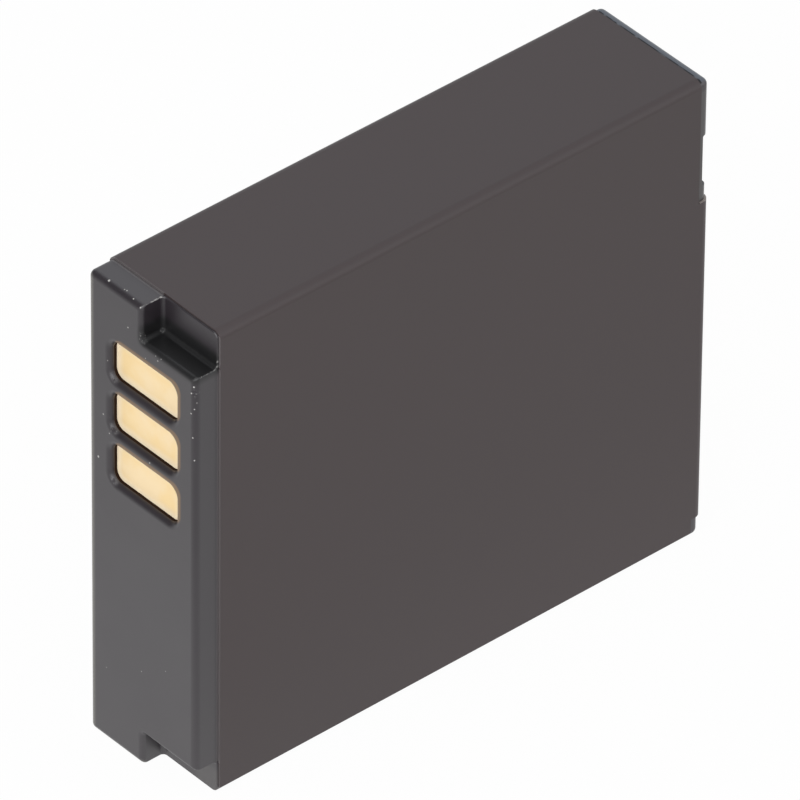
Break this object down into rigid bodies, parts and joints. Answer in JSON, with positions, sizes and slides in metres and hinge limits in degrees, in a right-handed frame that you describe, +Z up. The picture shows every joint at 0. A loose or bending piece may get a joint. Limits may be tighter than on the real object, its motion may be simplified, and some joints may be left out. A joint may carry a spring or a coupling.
{
  "type": "camera battery",
  "caption": "Flat rechargeable battery pack with recessed gold contacts, key notches at the contact end and a folded label film, for powering a compact camera.",
  "frame": {"origin": "middle of the case's underside, where it stands", "axes": "+X from the contact end to the far end, +Y from the front face to the back, +Z up"},
  "size_m": [0.0422, 0.0104, 0.0362],
  "materials": {
    "case_plastic": "fine spark-eroded moulded grain",
    "label_film": "satin printed film, bare",
    "contact_gold": "gold plated",
    "board_laminate": "green solder mask",
    "carrier_plastic": "natural moulded",
    "chip_resin": "moulded epoxy",
    "chip_ceramic": "fired ceramic",
    "resistor_black": "glazed film",
    "can_aluminium": "drawn, satin",
    "nickel_strip": "rolled nickel",
    "gasket_plastic": "moulded",
    "card_fibre": "pressed fibre card",
    "tape_film": "double-sided tape",
    "foam": "closed-cell foam"
  },
  "bodies": {
    "root": {"housing_tray": "case_plastic", "back_cover": "case_plastic", "label_wrap": "label_film", "positive_contact": "contact_gold", "sense_contact": "contact_gold", "negative_contact": "contact_gold", "circuit_board": "board_laminate", "board_carrier": "carrier_plastic", "protection_chip": "chip_resin", "mosfet_chip": "chip_resin", "sense_resistor": "resistor_black", "filter_resistor": "resistor_black", "filter_capacitor": "chip_ceramic", "bypass_capacitor": "chip_ceramic", "thermistor": "chip_ceramic", "cell_can": "can_aluminium", "cell_lid": "can_aluminium", "terminal_gasket": "gasket_plastic", "cell_terminal": "nickel_strip", "fill_plug": "can_aluminium", "thermal_cutoff": "chip_resin", "cutoff_pad": "tape_film", "negative_tab": "nickel_strip", "positive_tab": "nickel_strip", "end_insulator": "card_fibre", "front_tape": "tape_film", "back_tape": "tape_film", "end_cushion": "foam"}
  },
  "joints": []
}
